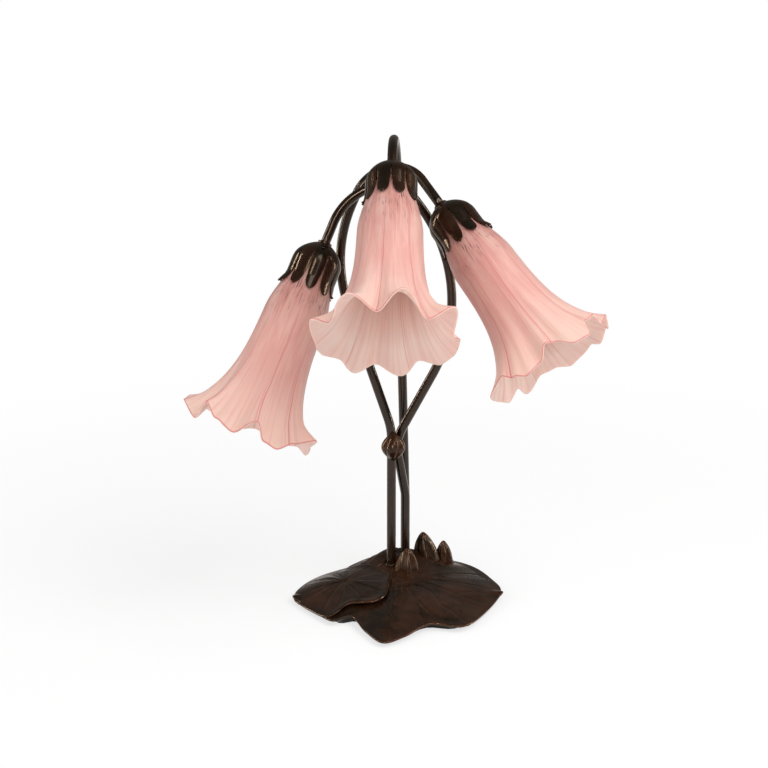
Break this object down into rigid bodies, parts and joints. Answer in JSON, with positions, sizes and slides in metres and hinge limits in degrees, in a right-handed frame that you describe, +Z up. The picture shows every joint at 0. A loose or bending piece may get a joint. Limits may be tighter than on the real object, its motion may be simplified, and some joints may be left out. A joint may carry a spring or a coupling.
{
  "type": "tiffany table lamp",
  "caption": "Pond-lily table lamp: cast lily-pad base with buds, bent tube stems held by a ribbed bud, petalled caps and drooping frosted pink glass flower shades over small screw-in bulbs.",
  "frame": {"origin": "on the table plane under the felt, near the middle of the base", "axes": "+Z up, -Y towards the viewer in the picture (the centre light hangs towards -Y), +X to the right"},
  "size_m": [0.3428, 0.2521, 0.4038],
  "materials": {
    "bronze_casting": "dark mahogany bronze, reddish brown where worn",
    "bronze_finish": "dark mahogany bronze on steel, half gloss",
    "brass": "plain machined brass",
    "zinc_steel": "zinc plated",
    "solder": "dull",
    "felt": "felt",
    "lead_sheath": "soft plastic sheath",
    "black_rubber": "matt",
    "ceramic_connector": "unglazed",
    "phenolic": "moulded phenolic",
    "fibre": "pressed fibre",
    "pink_glass": "frosted pink art glass with fine streaks",
    "bulb_glass": "frosted"
  },
  "bodies": {
    "stand": {"base_casting": "bronze_casting", "felt_pad": "felt", "stem_washers": "zinc_steel", "stem_nuts": "brass", "wire_connectors": "ceramic_connector", "cord_bushing": "black_rubber", "stem_centre": "bronze_finish", "stem_left": "bronze_finish", "stem_right": "bronze_finish", "lead_centre": "lead_sheath", "lead_left": "lead_sheath", "lead_right": "lead_sheath", "stem_bud": "bronze_casting", "centre_ferrule": "bronze_finish", "centre_cap": "bronze_finish", "centre_cap_nut": "brass", "centre_socket_body": "phenolic", "centre_socket_shell": "brass", "centre_socket_contact": "brass", "centre_gasket": "black_rubber", "left_ferrule": "bronze_finish", "left_cap": "bronze_finish", "left_cap_nut": "brass", "left_socket_body": "phenolic", "left_socket_shell": "brass", "left_socket_contact": "brass", "left_gasket": "black_rubber", "right_ferrule": "bronze_finish", "right_cap": "bronze_finish", "right_cap_nut": "brass", "right_socket_body": "phenolic", "right_socket_shell": "brass", "right_socket_contact": "brass", "right_gasket": "black_rubber"},
    "centre_washer": {"centre_ring_washer": "fibre"},
    "centre_ring": {"centre_shade_ring": "phenolic"},
    "centre_glass": {"centre_shade": "pink_glass"},
    "centre_bulb_foot": {"centre_bulb_tip": "solder"},
    "centre_bulb": {"centre_bulb_base": "brass", "centre_bulb_glass": "bulb_glass"},
    "left_washer": {"left_ring_washer": "fibre"},
    "left_ring": {"left_shade_ring": "phenolic"},
    "left_glass": {"left_shade": "pink_glass"},
    "left_bulb_foot": {"left_bulb_tip": "solder"},
    "left_bulb": {"left_bulb_base": "brass", "left_bulb_glass": "bulb_glass"},
    "right_washer": {"right_ring_washer": "fibre"},
    "right_ring": {"right_shade_ring": "phenolic"},
    "right_glass": {"right_shade": "pink_glass"},
    "right_bulb_foot": {"right_bulb_tip": "solder"},
    "right_bulb": {"right_bulb_base": "brass", "right_bulb_glass": "bulb_glass"}
  },
  "joints": [
    {"name": "centre_shade_drop", "type": "slide", "parent": "stand", "child": "centre_washer", "axis": [-0.0247, -0.7067, -0.7071], "range_m": [0, 0.012]},
    {"name": "centre_ring_turn", "type": "hinge", "parent": "centre_washer", "child": "centre_ring", "pos_m": [-0.0045, 0.006, 0.383], "axis": [-0.0247, -0.7067, -0.7071], "range_deg": [0, 2160]},
    {"name": "centre_shade_turn", "type": "hinge", "parent": "centre_washer", "child": "centre_glass", "pos_m": [-0.0045, 0.006, 0.383], "axis": [-0.0247, -0.7067, -0.7071], "continuous": true},
    {"name": "centre_bulb_travel", "type": "slide", "parent": "stand", "child": "centre_bulb_foot", "axis": [-0.0247, -0.7067, -0.7071], "range_m": [0, 0.0127]},
    {"name": "centre_bulb_turn", "type": "hinge", "parent": "centre_bulb_foot", "child": "centre_bulb", "pos_m": [-0.0045, 0.006, 0.383], "axis": [-0.0247, -0.7067, -0.7071], "range_deg": [0, 1800]},
    {"name": "left_shade_drop", "type": "slide", "parent": "stand", "child": "left_washer", "axis": [-0.3644, -0.4047, -0.8387], "range_m": [0, 0.012]},
    {"name": "left_ring_turn", "type": "hinge", "parent": "left_washer", "child": "left_ring", "pos_m": [-0.061, 0.028, 0.313], "axis": [-0.3644, -0.4047, -0.8387], "range_deg": [0, 2160]},
    {"name": "left_shade_turn", "type": "hinge", "parent": "left_washer", "child": "left_glass", "pos_m": [-0.061, 0.028, 0.313], "axis": [-0.3644, -0.4047, -0.8387], "continuous": true},
    {"name": "left_bulb_travel", "type": "slide", "parent": "stand", "child": "left_bulb_foot", "axis": [-0.3644, -0.4047, -0.8387], "range_m": [0, 0.0127]},
    {"name": "left_bulb_turn", "type": "hinge", "parent": "left_bulb_foot", "child": "left_bulb", "pos_m": [-0.061, 0.028, 0.313], "axis": [-0.3644, -0.4047, -0.8387], "range_deg": [0, 1800]},
    {"name": "right_shade_drop", "type": "slide", "parent": "stand", "child": "right_washer", "axis": [0.5224, -0.5602, -0.6428], "range_m": [0, 0.012]},
    {"name": "right_ring_turn", "type": "hinge", "parent": "right_washer", "child": "right_ring", "pos_m": [0.037, 0.024, 0.346], "axis": [0.5224, -0.5602, -0.6428], "range_deg": [0, 2160]},
    {"name": "right_shade_turn", "type": "hinge", "parent": "right_washer", "child": "right_glass", "pos_m": [0.037, 0.024, 0.346], "axis": [0.5224, -0.5602, -0.6428], "continuous": true},
    {"name": "right_bulb_travel", "type": "slide", "parent": "stand", "child": "right_bulb_foot", "axis": [0.5224, -0.5602, -0.6428], "range_m": [0, 0.0127]},
    {"name": "right_bulb_turn", "type": "hinge", "parent": "right_bulb_foot", "child": "right_bulb", "pos_m": [0.037, 0.024, 0.346], "axis": [0.5224, -0.5602, -0.6428], "range_deg": [0, 1800]}
  ],
  "couplings": [
    {"joint": "centre_ring_turn", "follows": "centre_shade_drop", "rad_per_m": 3141.6},
    {"joint": "centre_bulb_turn", "follows": "centre_bulb_travel", "rad_per_m": 2473.7},
    {"joint": "left_ring_turn", "follows": "left_shade_drop", "rad_per_m": 3141.6},
    {"joint": "left_bulb_turn", "follows": "left_bulb_travel", "rad_per_m": 2473.7},
    {"joint": "right_ring_turn", "follows": "right_shade_drop", "rad_per_m": 3141.6},
    {"joint": "right_bulb_turn", "follows": "right_bulb_travel", "rad_per_m": 2473.7}
  ]
}
